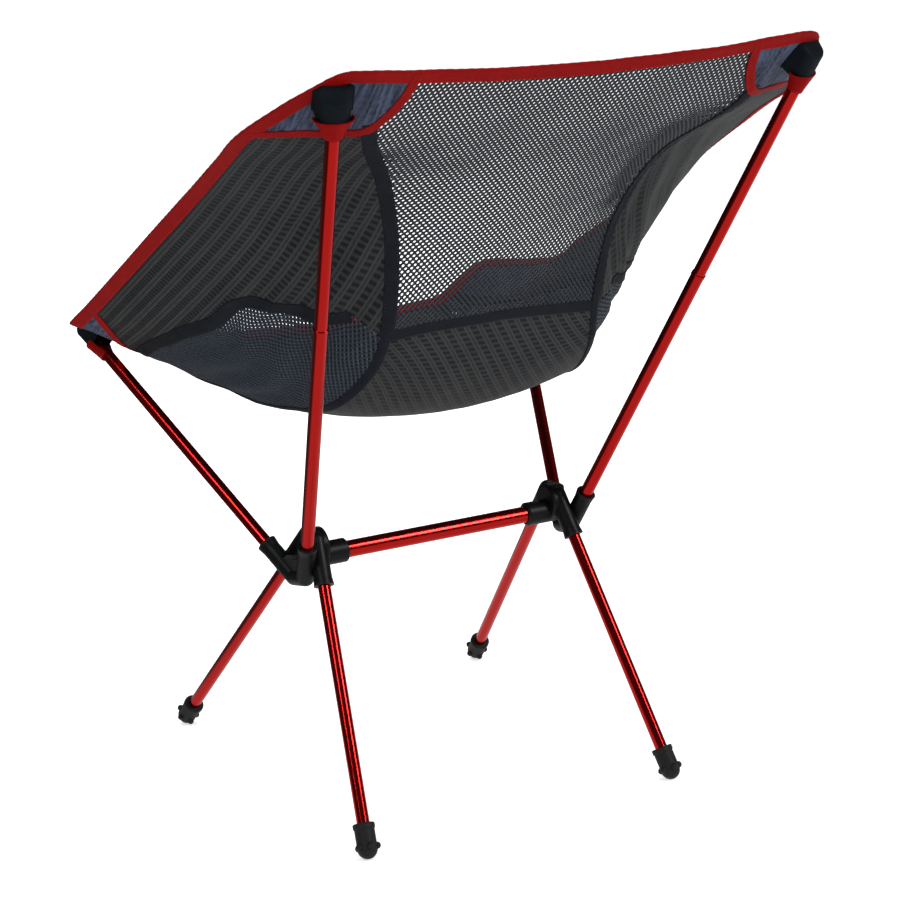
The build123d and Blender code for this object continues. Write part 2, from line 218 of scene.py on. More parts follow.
def sling_points(row, across):
    """Points of the left half at a distance down the sling and a place across it.

    across is 0 at the centre line, 1 at the seam and 2 at the outer edge."""
    seam = curve_at(SEAM, KNOTS, row)
    side = np.linalg.norm(curve_at(EDGE, KNOTS, row) - seam, axis=1)
    from_edge = (2 - across) * side
    for start, sign in ((0, 1), (SLING_LENGTH, -1)):
        from_end = (row - start) * sign
        near = (from_end < CORNER_RADIUS) & (from_edge < CORNER_RADIUS)
        new_end, new_edge = rounded_corner(from_end, from_edge, CORNER_RADIUS)
        row = np.where(near, start + sign * new_end, row)
        across = np.where(near, 2 - new_edge / side, across)
    centre, seam, edge = (curve_at(line, KNOTS, row) for line in LINES)
    inner = np.clip(across, 0, 1)[:, None]
    lift = inner**CENTRE_SAG_POWER
    middle = centre + (seam - centre) * np.hstack([inner, lift, lift])
    outer = np.clip(across - 1, 0, 1)[:, None]
    return middle + (edge - seam) * outer


def soft_noise(p, scale, seed):
    """Smooth noise from -1 to 1 at many points."""
    offset = Vector((seed * 7.13, seed * 3.71, seed * 5.29))
    return np.array([noise.noise(Vector(q) / scale + offset) for q in p])


def bump_at(x, middle, width):
    """A smooth hump of height one about a middle."""
    return np.exp(-(((x - middle) / width) ** 2))


def relief(p, row, across, flat):
    """How far the cloth stands out from the plain surface: folds, slack, puckers, belly and sag."""
    from_edge, along_edge = flat.T
    on_side = np.clip((across - 1) * 6, 0, 1)
    on_middle = 1 - np.clip((across - SAG_ENDS) * 4, 0, 1)
    wander = soft_noise(p, WANDER_SIZE, 11)
    folds = np.sin((from_edge / FOLD_PITCH + wander * FOLD_WANDER) * TURN)
    low = np.clip((from_edge - FOLDS_FROM_EDGE) / FOLDS_FADE, 0, 1)
    in_length = np.clip(1.25 - abs(along_edge - FOLDS_MIDDLE) / FOLDS_SPREAD, 0, 1)
    outward = FOLD_HEIGHT * folds * on_side * low * in_length
    slack = sum(height * soft_noise(p, size, seed) for height, size, seed in SLACK)
    outward = outward + slack * np.clip(from_edge / TAUT_EDGE, SLACK_AT_EDGE, 1)
    near_seam = bump_at(across, 1, PUCKER_REACH) * (row < SEAT_SEAM_AT + PUCKERS_PAST_SEAM)
    strength = 0.6 + 0.4 * soft_noise(p, PUCKER_PATCHES, 6)
    pucker = np.sin(row / PUCKER_PITCH * TURN + 3 * wander) * strength
    outward = outward + PUCKER_HEIGHT * near_seam * pucker
    belly = BELLY_HEIGHT * bump_at(across, BELLY_ACROSS, BELLY_WIDTH)
    outward = outward + belly * bump_at(row, SLING_LENGTH - BELLY_FROM_FRONT, BELLY_LENGTH)
    sag = SAG_HEIGHT * on_middle * soft_noise(p, SAG_SIZE, 21)
    return outward + sag * np.clip(row / TAUT_TOP, 0, 1)


def edge_coordinates(p):
    """The cut side's own coordinates: distance from the straight part of the side edge, and along it."""
    start, end = EDGE[1], EDGE[-2]
    edge_line = unit(end - start)
    offset = p - start
    along = offset @ edge_line
    from_edge = np.linalg.norm(offset - along[:, None] * edge_line, axis=1)
    return np.column_stack([from_edge, along])


def places_across(share):
    """The places across the sling of one row's points, with the insert up to a share of the side."""
    middle = np.linspace(0, 1, CENTRE_CELLS + 1)
    mesh = 1 + np.linspace(0, share, INSERT_CELLS + 1)[1:]
    panel = 1 + np.linspace(share, 1, PANEL_CELLS + 1)[1:]
    return np.concatenate([middle, mesh, panel])


class Half:
    """One half of the sling as a fine grid: points, outward normals, and flat coordinates."""

    def __init__(self, side):
        self.side = side
        back = np.linspace(0, SEAT_SEAM_AT, BACK_ROWS + 1)
        seat = np.linspace(SEAT_SEAM_AT, SLING_LENGTH, SEAT_ROWS + 1)[1:]
        rows = np.concatenate([back, seat])
        insert = curve_at(INSERT, KNOTS, rows)[:, 0]
        on_back = rows <= SEAT_SEAM_AT
        insert[on_back] = np.minimum(insert[on_back], ROWS[0][3])
        places = np.array([places_across(share) for share in insert])
        self.shape = places.shape
        row = np.repeat(rows, places.shape[1])
        across = places.ravel()
        plain = sling_points(row, across)
        down = distances(curve_at(CENTRE, KNOTS, rows))
        self.middle_flat = np.column_stack([plain[:, 0] * side, down.repeat(places.shape[1])])
        self.side_flat = edge_coordinates(plain)
        plain = mirror(plain, side)
        height = relief(plain, row, across, self.side_flat)
        self.points = plain + self.grid_normals(plain) * height[:, None]
        self.normals = self.grid_normals(self.points)

    def grid(self):
        """The points in rows and columns."""
        return self.points.reshape(*self.shape, 3)

    def grid_normals(self, p):
        """Outward unit normals (towards the back and the ground) of the grid."""
        grid = p.reshape(*self.shape, 3)
        down = np.gradient(grid, axis=0)
        out = np.gradient(grid, axis=1)
        out[:, 0] = (grid[:, 1] - grid[:, 0]) * np.array([1, 0, 0])
        normal = unit(np.cross(out, down)) * self.side
        return normal.reshape(-1, 3)

    def cells(self, rows, columns):
        """The corners of the cells in a rectangle of the grid, in order for an outward face."""
        i, j = np.meshgrid(np.arange(*rows), np.arange(*columns), indexing="ij")
        width = self.shape[1]
        a = (i * width + j).ravel()
        quad = np.column_stack([a, a + 1, a + width + 1, a + width])
        return quad if self.side > 0 else quad[:, ::-1]


halves = {name: Half(sign) for name, sign in SIDES.items()}
WHOLE_POINTS = np.vstack([half.points for half in halves.values()])
WHOLE_NORMALS = np.vstack([half.normals for half in halves.values()])


def whole_quads(quads_of):
    """Quads of both halves as numbers of the whole sling's points. quads_of gives one half's."""
    start, found = 0, []
    for half in halves.values():
        found.append(quads_of(half) + start)
        start += len(half.points)
    return np.vstack(found)


def triangles_of(quads):
    """Two triangles for each quad."""
    return np.vstack([quads[:, [0, 1, 2]], quads[:, [0, 2, 3]]])


def barycentric(p, a, b, c):
    """The weights of a triangle's corners at a point in its plane."""
    ab, ac, ap = b - a, c - a, p - a
    d00, d01, d11 = ab @ ab, ab @ ac, ac @ ac
    d20, d21 = ap @ ab, ap @ ac
    base = max(d00 * d11 - d01 * d01, 1e-18)
    v = (d11 * d20 - d01 * d21) / base
    w = (d00 * d21 - d01 * d20) / base
    return np.clip(np.array([1 - v - w, v, w]), 0, 1)


TRIANGLES = triangles_of(whole_quads(lambda half: half.cells((0, LAST_ROW), (0, EDGE_COLUMN))))
SLING_TREE = BVHTree.FromPolygons(WHOLE_POINTS.tolist(), TRIANGLES.tolist())


def lay(p):
    """The points of the whole sling nearest to some points, and its outward normals there."""
    found, normals = [], []
    for q in p:
        place, _, index, _ = SLING_TREE.find_nearest(Vector(q))
        corners = TRIANGLES[index]
        weights = barycentric(np.array(place), *WHOLE_POINTS[corners])
        found.append(np.array(place))
        normals.append(weights @ WHOLE_NORMALS[corners])
    return np.array(found), unit(np.array(normals))


# ---------------------------------------------------------------- the zones of the sling
def plane(origin, first, second, towards):
    """A point and the unit normal of the plane through it along two directions, towards another point."""
    normal = unit(np.cross(first, second))
    return origin, normal * np.sign(normal @ (towards - origin))


REAR_START = SEAM[SEAT_SEAM]
SIDE_MIDDLE = EDGE[SEAT_SEAM + 1]
REAR_FOOT = SIDE_MIDDLE + (EDGE[SEAT_SEAM] - SIDE_MIDDLE) * 0.9
REAR = plane(REAR_START, CENTRE[0] - REAR_START, REAR_FOOT - REAR_START, EDGE[0])
REAR_SPLIT = 0.060


def zone_of(p, zones):
    """The zone of each point: corner, rear or front, among the ones that a piece may use."""
    folded = np.hstack([np.abs(p[:, :1]), p[:, 1:]])
    height = (folded - REAR[0]) @ REAR[1]
    zone = np.full(len(p), "front" if "front" in zones else zones[0], dtype=object)
    if "rear" in zones and "front" in zones:
        zone[p[:, 1] > REAR_FOOT[1]] = "rear"
    if "corner" in zones:
        zone[height > REAR_SPLIT] = "corner"
    return zone


def follow(piece, zone, side_name):
    """Bakes a piece's placement into its mesh, whatever its zone."""

    def place(plane_used, distance):
        return tuple(mirror(plane_used[0] + plane_used[1] * distance, SIDES[side_name]))

    if zone == "front":
        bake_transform(piece)
    elif zone == "rear":
        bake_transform(piece)
    elif zone == "corner":
        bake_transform(piece)


# ---------------------------------------------------------------- mesh building
class Shape:
    """Points, faces, a flat coordinate for each point, and a material and smoothing normals for each face."""

    def __init__(self):
        self.points = np.zeros((0, 3))
        self.flat = np.zeros((0, 2))
        self.faces = []
        self.material = []
        self.corner_normals = []

    def add(self, points, flat, faces, material=0, normals=None):
        """Adds faces. normals holds one normal for each corner of each face, or None for flat shading."""
        start = len(self.points)
        self.points = np.vstack([self.points, points])
        self.flat = np.vstack([self.flat, flat])
        for index, face in enumerate(faces):
            self.faces.append([int(v) + start for v in face])
            self.material.append(material)
            self.corner_normals.append(None if normals is None else normals[index])


def flipped(points, normals, faces):
    """True if faces turn against the normals of their first corners, summed over the faces."""
    a, b, c = (points[faces[:, i]] for i in range(3))
    return (np.cross(b - a, c - a) * normals[faces[:, 0]]).sum() < 0


def rim_walls(quads, count):
    """Quads that join the rim of a sheet to the rim of its copy, which is count points further on."""
    starts = quads.ravel()
    ends = np.roll(quads, -1, axis=1).ravel()
    key = np.minimum(starts, ends) * 10_000_000 + np.maximum(starts, ends)
    _, first, counts = np.unique(key, return_index=True, return_counts=True)
    only = first[counts == 1]
    return np.column_stack([ends[only], starts[only], starts[only] + count, ends[only] + count])


def thicken(points, normals, flat, quads, thickness):
    """A closed sheet with smooth faces and square rims, as a Shape."""
    used, inverse = np.unique(quads, return_inverse=True)
    quads = inverse.reshape(quads.shape)
    points, normals, flat = points[used], normals[used], flat[used]
    both = np.vstack([points + normals * thickness / 2, points - normals * thickness / 2])
    walls = rim_walls(quads, len(used))
    a, b, c = (both[walls[:, i]] for i in range(3))
    out = unit(np.cross(b - a, c - a))
    corner = [normals[quads], -normals[quads[:, ::-1]], np.repeat(out[:, None], 4, axis=1)]
    faces = np.vstack([quads, quads[:, ::-1] + len(used), walls])
    shape = Shape()
    shape.add(both, np.vstack([flat, flat]), faces, 0, np.concatenate(corner))
    return shape


def make_object(name, shape, keep, materials):
    """A Blender object from the kept faces of a Shape."""
    faces = [shape.faces[i] for i in keep]
    used = sorted({v for face in faces for v in face})
    number = {v: i for i, v in enumerate(used)}
    mesh = bpy.data.meshes.new(name)
    mesh.from_pydata(shape.points[used].tolist(), [], [[number[v] for v in face] for face in faces])
    layer = mesh.uv_layers.new(name="flat")
    flat = np.array([shape.flat[v] for face in faces for v in face])
    layer.data.foreach_set("uv", flat.ravel())
    mesh.polygons.foreach_set("material_index", [shape.material[i] for i in keep])
    mesh.polygons.foreach_set("use_smooth", [True] * len(faces))
    for material in materials:
        mesh.materials.append(material)
    mesh.update()
    normals = []
    for i, polygon in zip(keep, mesh.polygons):
        own = shape.corner_normals[i]
        if own is None:
            own = [polygon.normal] * len(shape.faces[i])
        normals.extend(tuple(n) for n in own)
    mesh.normals_split_custom_set(normals)
    piece = bpy.data.objects.new(name, mesh)
    bpy.context.scene.collection.objects.link(piece)
    return piece


def make_pieces(name, centres, build, zones):
    """One piece for each side and zone that has faces, built from their numbers, with its placement baked
    into its mesh.
    """
    zone = zone_of(centres, zones)
    made = []
    for side_name, sign in SIDES.items():
        for wanted in zones:
            mine = np.flatnonzero((centres[:, 0] * sign > 0) & (zone == wanted))
            if len(mine) > 0:
                parts = [name, side_name] + ([wanted] if len(zones) > 1 else [])
                piece = build("_".join(parts), mine)
                follow(piece, wanted, side_name)
                made.append(piece)
    return made


def deliver(name, shape, materials, slot, zones, replaced):
    """Splits a Shape by side and zone into pieces, and hides the CAD nodes that they stand in for."""

    def build(full_name, keep):
        return make_object(full_name, shape, keep, materials)

    centres = np.array([shape.points[face].mean(axis=0) for face in shape.faces])
    made = make_pieces(name, centres, build, zones)
    for node in replaced:
        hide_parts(node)


# ---------------------------------------------------------------- corner patches
PATCH_REACH = 0.16
BORDERS = {
    "back": (smooth_path([point(*p) for p in BACK_BORDER], BORDER_STEP), EDGE[0]),
    "front": (smooth_path([point(*p) for p in FRONT_BORDER], BORDER_STEP), EDGE[-1]),
}


def in_patch(p, border, corner):
    """True for points on the corner's side of a patch border (left side)."""
    first = unit(border[-1] - border[0])
    towards = corner - border[0]
    second = unit(towards - (towards @ first) * first)
    limit = np.interp((p - border[0]) @ first, (border - border[0]) @ first, (border - border[0]) @ second)
    near = np.linalg.norm(p - corner, axis=1) < PATCH_REACH
    return near & ((p - border[0]) @ second > limit)


def patch_masks(half, quads):
    """For quads of a half, which lie in the back and in the front corner patch."""
    centres = mirror(half.points[quads].mean(axis=1), half.side)
    return {name: in_patch(centres, line, corner) for name, (line, corner) in BORDERS.items()}


# ---------------------------------------------------------------- materials
class Nodes:
    """Shorthands for the nodes of a tree."""

    def __init__(self, tree):
        self.tree = tree

    def put(self, socket, value):
        """Links another socket to a socket, or sets its number."""
        if isinstance(value, bpy.types.NodeSocket):
            self.tree.links.new(value, socket)
        else:
            socket.default_value = value

    def node(self, kind, **values):
        """A new node, with its properties and inputs set or linked. An underscore stands for a space."""
        node = self.tree.nodes.new(kind)
        for name, value in values.items():
            if hasattr(node, name):
                setattr(node, name, value)
            else:
                self.put(node.inputs[name.replace("_", " ")], value)
        return node

    def maths(self, operation, *values):
        """The output of a Math node."""
        node = self.node("ShaderNodeMath", operation=operation)
        for socket, value in zip(node.inputs, values):
            self.put(socket, value)
        return node.outputs[0]

    def scaled(self, value, by, plus=0.0):
        """A value times another, plus a third."""
        return self.maths("MULTIPLY_ADD", value, by, plus)

    def mixed(self, factor, a, b):
        """The colour between two colours, which may be given as plain numbers."""
        node = self.node("ShaderNodeMix", data_type="RGBA")
        for index, value in ((0, factor), (6, a), (7, b)):
            self.put(node.inputs[index], (*value, 1.0) if isinstance(value, tuple) else value)
        return node.outputs[2]

    def ranged(self, value, low, high, start=0.0, end=1.0, kind="LINEAR"):
        """A value moved from one range to another, and held inside it."""
        node = self.node("ShaderNodeMapRange", interpolation_type=kind, Value=value,
                         From_Min=low, From_Max=high, To_Min=start, To_Max=end)
        return node.outputs[0]


class Look(Nodes):
    """A material with a Principled shader, and shorthands for what cloth and plastic need."""

    def __init__(self, name):
        self.material = bpy.data.materials.new(name)
        self.material.use_nodes = True
        super().__init__(self.material.node_tree)
        self.shader = self.tree.nodes["Principled BSDF"]

    def surface(self, **values):
        """Sets or links the shader's inputs. An underscore stands for a space in a name."""
        for name, value in values.items():
            self.put(self.shader.inputs[name.replace("_", " ")], value)

    def bump(self, height, distance, strength):
        """Links a height to the shader's normal."""
        node = self.node("ShaderNodeBump", Height=height, Distance=distance, Strength=strength)
        self.tree.links.new(node.outputs[0], self.shader.inputs["Normal"])

    def place(self):
        """The place in the object's own space."""
        return self.node("ShaderNodeTexCoord").outputs["Object"]

    def noise(self, where, scale, detail, rough=0.5):
        """Noise at a place."""
        node = self.node("ShaderNodeTexNoise", Vector=where, Scale=scale, Detail=detail, Roughness=rough)
        return node.outputs["Fac"]

    def cloud(self, scale, detail=3.0):
        """Noise in the object's own space, a little rougher than the plain kind."""
        return self.noise(self.place(), scale, detail, 0.55)

    def flat_axes(self):
        """The two flat coordinates of the cloth, in metres."""
        flat = self.node("ShaderNodeUVMap", uv_map="flat").outputs[0]
        return self.node("ShaderNodeSeparateXYZ", Vector=flat).outputs[:2]

    def lines(self, axis, pitch, width, soft):
        """One on thin lines a pitch apart and zero between them."""
        place = self.maths("FRACT", self.maths("DIVIDE", axis, pitch))
        away = self.maths("ABSOLUTE", self.maths("SUBTRACT", place, 0.5))
        edge = width / pitch / 2
        return self.ranged(away, edge, edge + soft / pitch, 1.0, 0.0, "SMOOTHSTEP")

    def weave(self, u, v, pitch):
        """The height of a plain weave with threads a pitch apart."""
        a, b = (self.maths("SINE", self.maths("MULTIPLY", axis, TURN / pitch)) for axis in (u, v))
        return self.maths("MULTIPLY", a, b)


def anodised_red():
    """Glossy red anodised aluminium with faint drawing lines and handling marks."""
    look = Look("anodised_red")
    cloud = look.cloud(14.0)
    fine = look.noise(look.place(), 900.0, 2.0)
    rough = look.scaled(cloud, 0.08, 0.11)
    look.surface(Base_Color=look.mixed(cloud, (0.50, 0.012, 0.010), (0.60, 0.020, 0.017)), Metallic=1.0,
                 Roughness=look.scaled(fine, 0.04, rough))
    look.bump(fine, 0.00001, 0.2)
    return look.material


def bare_aluminium():
    """Plain drawn aluminium."""
    look = Look("bare_aluminium")
    cloud = look.cloud(200.0)
    look.surface(Base_Color=look.mixed(cloud, (0.62, 0.62, 0.64), (0.78, 0.78, 0.80)), Metallic=1.0,
                 Roughness=look.scaled(cloud, 0.12, 0.26))
    return look.material


def moulded_black():
    """Black glass-filled nylon: a fine grain, flow marks, and edges that are rubbed a little lighter."""
    look = Look("moulded_black")
    grain = look.cloud(1400.0, 2.0)
    flow = look.cloud(40.0, 4.0)
    worn = look.ranged(look.node("ShaderNodeNewGeometry").outputs["Pointiness"], 0.53, 0.60)
    base = look.mixed(flow, (0.003, 0.0033, 0.0036), (0.006, 0.0066, 0.0072))
    tint = look.mixed(look.maths("MULTIPLY", worn, 0.5), base, (0.020, 0.021, 0.023))
    look.surface(Base_Color=tint, Roughness=look.scaled(flow, 0.16, 0.32),
                 Specular_IOR_Level=0.18)
    look.bump(look.maths("ADD", grain, flow), 0.00012, 0.5)
    return look.material


def moulded_rubber():
    """Black rubber with a dusty bloom."""
    look = Look("moulded_rubber")
    grain = look.cloud(1100.0, 3.0)
    cloud = look.cloud(70.0, 4.0)
    look.surface(Base_Color=look.mixed(cloud, (0.006, 0.006, 0.007), (0.016, 0.016, 0.017)),
                 Roughness=look.scaled(cloud, 0.2, 0.48), Specular_IOR_Level=0.25)
    look.bump(grain, 0.0001, 0.5)
    return look.material


# The ripstop's threads: how far apart the groups of two are and the ones that cross them, and their widths.
GROUP_PITCH = 0.0118
CROSS_PITCH = 0.0056
THREAD_WIDTH = 0.0011
THREAD_SOFTNESS = 0.0007
CROSS_WIDTH = 0.0017
CROSS_SOFTNESS = 0.0009
IN_GROUP = 0.0036
BETWEEN_SOFTNESS = 0.0006
GROUND_WEAVE = 0.0011


def ripstop(name, slant=0.0):
    """Charcoal ripstop: doubled lighter threads one way and single ones the other, over a dark plain weave.

    slant is how far the doubled threads lean across the cloth, as on a panel cut on the bias."""
    look = Look(name)
    u, v = look.flat_axes()
    if slant:
        u = look.scaled(v, slant, u)
    first = look.lines(u, GROUP_PITCH, THREAD_WIDTH, THREAD_SOFTNESS)
    second = look.lines(look.maths("ADD", u, IN_GROUP), GROUP_PITCH, THREAD_WIDTH, THREAD_SOFTNESS)
    between = look.lines(look.maths("ADD", u, IN_GROUP / 2), GROUP_PITCH, IN_GROUP, BETWEEN_SOFTNESS)
    cross = look.lines(v, CROSS_PITCH, CROSS_WIDTH, CROSS_SOFTNESS)
    doubled = look.maths("MAXIMUM", first, second)
    single = look.maths("MAXIMUM", look.maths("MULTIPLY", cross, 0.60), look.maths("MULTIPLY", between, 0.40))
    grid = look.maths("MAXIMUM", doubled, single)
    threads = look.weave(u, v, GROUND_WEAVE)
    cloud = look.cloud(26.0, 4.0)
    speck = look.cloud(700.0, 2.0)
    cell = look.mixed(cloud, (0.006, 0.0075, 0.010), (0.013, 0.0145, 0.017))
    line = look.mixed(cloud, (0.034, 0.036, 0.037), (0.062, 0.063, 0.062))
    line = look.mixed(look.maths("MULTIPLY", speck, 0.5), line, (0.022, 0.024, 0.026))
    look.surface(Base_Color=look.mixed(grid, cell, line), Specular_IOR_Level=0.10,
                 Roughness=look.scaled(grid, 0.10, 0.50), Sheen_Weight=0.02, Sheen_Roughness=0.4)
    look.bump(look.maths("ADD", look.maths("MULTIPLY", threads, 0.35), grid), 0.00018, 0.8)
    return look.material


NET_PITCH = np.array([0.0046, 0.0055])
NET_YARN = 0.0016


def net(name, dark, light):
    """Knitted polyester net, with rounded threads."""
    look = Look(name)
    u, v = look.flat_axes()
    threads = look.weave(look.maths("ADD", u, v), look.maths("SUBTRACT", u, v), NET_YARN)
    speck = look.cloud(520.0, 2.0)
    cloud = look.cloud(22.0, 3.0)
    across, down = NET_PITCH.tolist()
    knots = look.weave(u, look.maths("MULTIPLY", v, across / down), across)
    shade = look.scaled(speck, 0.35, look.maths("MULTIPLY", cloud, 0.25))
    look.surface(Base_Color=look.mixed(look.scaled(knots, 0.38, shade), dark, light),
                 Roughness=look.scaled(speck, 0.2, 0.45), Sheen_Weight=0.03,
                 Specular_IOR_Level=0.15)
    look.bump(threads, 0.00025, 0.7)
    return look.material


def slub_cloth():
    """Navy reinforcing cloth with uneven lighter threads, as in chambray."""
    look = Look("slub_cloth")
    where = look.node("ShaderNodeMapping", Vector=look.place(), Rotation=(math.pi / 4, 0, 0)).outputs[0]
    long_way = look.node("ShaderNodeMapping", Vector=where, Scale=(900.0, 900.0, 60.0)).outputs[0]
    cross_way = look.node("ShaderNodeMapping", Vector=where, Scale=(80.0, 80.0, 800.0)).outputs[0]
    both = look.scaled(look.noise(cross_way, 0.8, 2.0), 0.20, look.noise(long_way, 0.55, 3.0))
    tint = look.mixed(look.ranged(both, 0.44, 0.76), (0.010, 0.015, 0.030), (0.062, 0.080, 0.138))
    look.surface(Base_Color=tint, Roughness=0.62, Sheen_Weight=0.05, Specular_IOR_Level=0.12)
    look.bump(both, 0.0002, 0.6)
    return look.material


def woven_tape(name, dark, light, pitch=0.0012):
    """Narrow woven tape with a diagonal twill."""
    look = Look(name)
    u, v = look.flat_axes()
    twill = look.maths("SINE", look.maths("MULTIPLY", look.maths("ADD", u, v), TURN / pitch))
    cloud = look.cloud(60.0, 3.0)
    speck = look.cloud(900.0, 2.0)
    shade = look.scaled(speck, 0.5, look.maths("MULTIPLY", cloud, 0.5))
    look.surface(Base_Color=look.mixed(shade, dark, light), Sheen_Weight=0.01, Sheen_Roughness=0.35,
                 Roughness=look.scaled(speck, 0.2, 0.45), Specular_IOR_Level=0.05)
    look.bump(look.scaled(speck, 0.8, look.maths("MULTIPLY", twill, 0.4)), 0.00012, 0.6)
    return look.material


def studio_floor():
    """A pale floor with a little glow of its own, whose reflection is bright, and dark to one side."""
    look = Look("studio_floor")
    path = look.node("ShaderNodeLightPath").outputs
    look.surface(Base_Color=look.mixed(look.cloud(0.6, 2.0), (0.90, 0.90, 0.90), (0.93, 0.93, 0.93)),
                 Roughness=0.9, Specular_IOR_Level=0.0, Emission_Color=(1, 1, 1, 1),
                 Emission_Strength=look.scaled(path["Is Camera Ray"], 0.28, 0.24))
    place = look.node("ShaderNodeSeparateXYZ", Vector=look.node("ShaderNodeNewGeometry").outputs["Position"])
    to_side = look.maths("SUBTRACT", place.outputs[0], place.outputs[1])
    reflected = look.ranged(to_side, 0.36, 0.80, 0.72, 0.08, "SMOOTHSTEP")
    shown = look.node("ShaderNodeEmission", Strength=reflected)
    choose = look.node("ShaderNodeMixShader", Fac=path["Is Glossy Ray"])
    look.put(choose.inputs[1], look.shader.outputs[0])
    look.put(choose.inputs[2], shown.outputs[0])
    look.put(look.tree.nodes["Material Output"].inputs["Surface"], choose.outputs[0])
    return look.material


RED_POLE = anodised_red()
FERRULE = bare_aluminium()
HUB = moulded_black()
RUBBER = moulded_rubber()
RIPSTOP = ripstop("ripstop")
SEAT_RIPSTOP = ripstop("seat_ripstop", 0.65)
BACK_NET = net("back_net", (0.008, 0.010, 0.013), (0.052, 0.064, 0.082))
SIDE_NET = net("side_net", (0.003, 0.005, 0.008), (0.058, 0.082, 0.118))
PATCH = slub_cloth()
RED_TAPE = woven_tape("red_tape", (0.15, 0.001, 0.001), (0.31, 0.003, 0.003))
BLACK_WEBBING = woven_tape("black_webbing", (0.002, 0.0035, 0.005), (0.009, 0.013, 0.017), 0.0018)
SEAM_TAPE = woven_tape("seam_tape", (0.005, 0.006, 0.009), (0.017, 0.019, 0.025), 0.0016)
RED_THREAD = woven_tape("red_thread", (0.36, 0.010, 0.010), (0.52, 0.02, 0.02), 0.0004)
DARK_THREAD = woven_tape("dark_thread", (0.004, 0.004, 0.005), (0.012, 0.012, 0.014), 0.0004)
GREY_THREAD = woven_tape("grey_thread", (0.015, 0.017, 0.021), (0.040, 0.044, 0.052), 0.0004)


def declare_sheets(made, points, quads, zones):
    """Picks out the quads of each piece of a panel by side and zone, and keeps nothing of them."""
    centres = points[quads].mean(axis=1)
    zone = zone_of(centres, zones)
    for piece in made:
        side_name = next(name for name in SIDES if name in piece.name)
        mine = centres[:, 0] * SIDES[side_name] > 0
        if len(zones) > 1:
            mine &= zone == piece.name.rsplit("_", 1)[1]


def cloth_pieces(name, cloth, quads, thickness, material, zones, replaced):
    """Splits quads by side and zone, gives each part its thickness, and bakes its placement into its mesh."""

    def build(full_name, mine):
        shape = thicken(*cloth, quads[mine], thickness)
        return make_object(full_name, shape, range(len(shape.faces)), [material])

    made = make_pieces(name, cloth[0][quads].mean(axis=1), build, zones)
    for node in replaced:
        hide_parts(node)
    return made


def grid_panel(name, material, blocks, zones, replaced, thickness=CLOTH, wanted=None):
    """Plain cloth over rectangles of both grids. wanted is the corner patch to make, or None for the rest."""

    def quads_of(half):
        quads = np.vstack([half.cells(*block) for block in blocks])
        masks = patch_masks(half, quads)
        return quads[masks[wanted] if wanted else ~(masks["back"] | masks["front"])]

    on_side = blocks[0][1][0] > 0
    flat = np.vstack([half.side_flat if on_side else half.middle_flat for half in halves.values()])
    quads = whole_quads(quads_of)
    cloth = (WHOLE_POINTS, WHOLE_NORMALS, flat)
    made = cloth_pieces(name, cloth, quads, thickness, material, zones, replaced)
    declare_sheets(made, WHOLE_POINTS, quads, zones)


# ---------------------------------------------------------------- net
BACK_HOLE = np.array([0.00106, 0.00128])
SIDE_HOLE = np.array([0.00078, 0.00088])
OUTLINE = np.array([(1, 0), (0.5, 0.5), (0, 1), (-0.5, 0.5), (-1, 0), (-0.5, -0.5), (0, -1), (0.5, -0.5)]) / 2
RING = np.array([(math.cos(TURN * k / 8), math.sin(TURN * k / 8)) for k in range(8)])


def find_flat(flat, triangles, places):
    """The triangle under each flat place, or -1."""
    tree = BVHTree.FromPolygons([(u, v, 0.0) for u, v in flat], triangles.tolist())
    down = Vector((0, 0, -1))
    hits = [tree.ray_cast(Vector((u, v, 1)), down)[2] for u, v in places]
    return np.array([-1 if hit is None else hit for hit in hits])


def raise_flat(flat, values, triangles, index, places):
    """Values at flat places, from the corners of the triangles under them."""
    a, b, c = (flat[triangles[index, i]] for i in range(3))
    ab, ac, ap = b - a, c - a, places - a
    base = ab[:, 0] * ac[:, 1] - ab[:, 1] * ac[:, 0]
    v = (ap[:, 0] * ac[:, 1] - ap[:, 1] * ac[:, 0]) / base
    w = (ab[:, 0] * ap[:, 1] - ab[:, 1] * ap[:, 0]) / base
    weights = np.column_stack([1 - v - w, v, w])[:, :, None]
    return (values[triangles[index]] * weights).sum(axis=1)


def net_over(points, normals, flat, quads, wide_quads, hole):
    """Knitted net with real holes over the cloth that quads cover, as a new cloth and its quads."""
    used = flat[np.unique(quads)]
    start = np.floor(used.min(axis=0) / NET_PITCH).astype(int) - 1
    stop = np.ceil(used.max(axis=0) / NET_PITCH).astype(int) + 2
    i, j = np.meshgrid(np.arange(start[0], stop[0]), np.arange(2 * start[1], 2 * stop[1]), indexing="ij")
    centres = np.column_stack([(i + (j % 2) / 2).ravel() * NET_PITCH[0], j.ravel() * NET_PITCH[1] / 2])
    centres = centres[find_flat(flat, triangles_of(quads), centres) >= 0]
    corners = np.concatenate([centres[:, None] + OUTLINE * NET_PITCH, centres[:, None] + RING * hole], axis=1)
    keys, inverse = np.unique(np.round(corners.reshape(-1, 2), 7), axis=0, return_inverse=True)
    number = inverse.reshape(len(centres), 16)
    wide = triangles_of(wide_quads)
    index = find_flat(flat, wide, keys)
    number = number[(index[number] >= 0).all(axis=1)]
    index = np.maximum(index, 0)
    placed = raise_flat(flat, points, wide, index, keys)
    raised = unit(raise_flat(flat, normals, wide, index, keys))
    faces = np.vstack([number[:, [k, (k + 1) % 8, 8 + (k + 1) % 8, 8 + k]] for k in range(8)])
    if flipped(placed, raised, faces):
        faces = faces[:, ::-1]
    return (placed, raised, keys), faces


